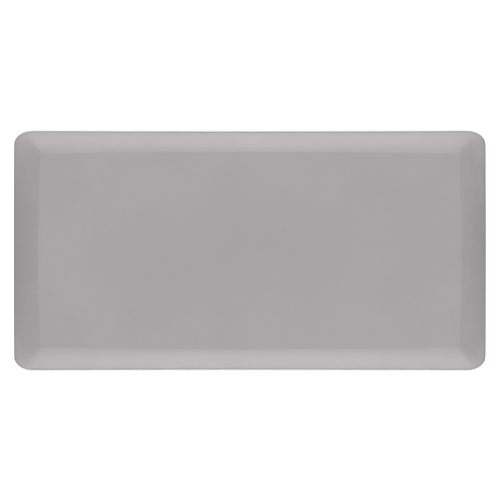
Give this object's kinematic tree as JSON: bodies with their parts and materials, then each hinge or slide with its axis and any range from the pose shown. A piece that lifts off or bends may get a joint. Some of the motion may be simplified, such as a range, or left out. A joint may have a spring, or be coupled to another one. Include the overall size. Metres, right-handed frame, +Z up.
{
  "type": "anti-fatigue mat",
  "caption": "Rectangular foam comfort mat with bevelled sides, rounded corners and a non-slip underside, to stand on at a desk or worktop.",
  "frame": {"origin": "middle of the underside, on the floor", "axes": "+X along the length, +Y across the width, +Z up from the floor to the standing surface"},
  "size_m": [0.99, 0.501, 0.019],
  "materials": {
    "skin": "matte",
    "bond": "satin",
    "foam": "matte",
    "base": "matte"
  },
  "bodies": {
    "root": {"top_skin": "skin", "top_bond": "bond", "foam_core": "foam", "base_bond": "bond", "base_sheet": "base"}
  },
  "joints": []
}
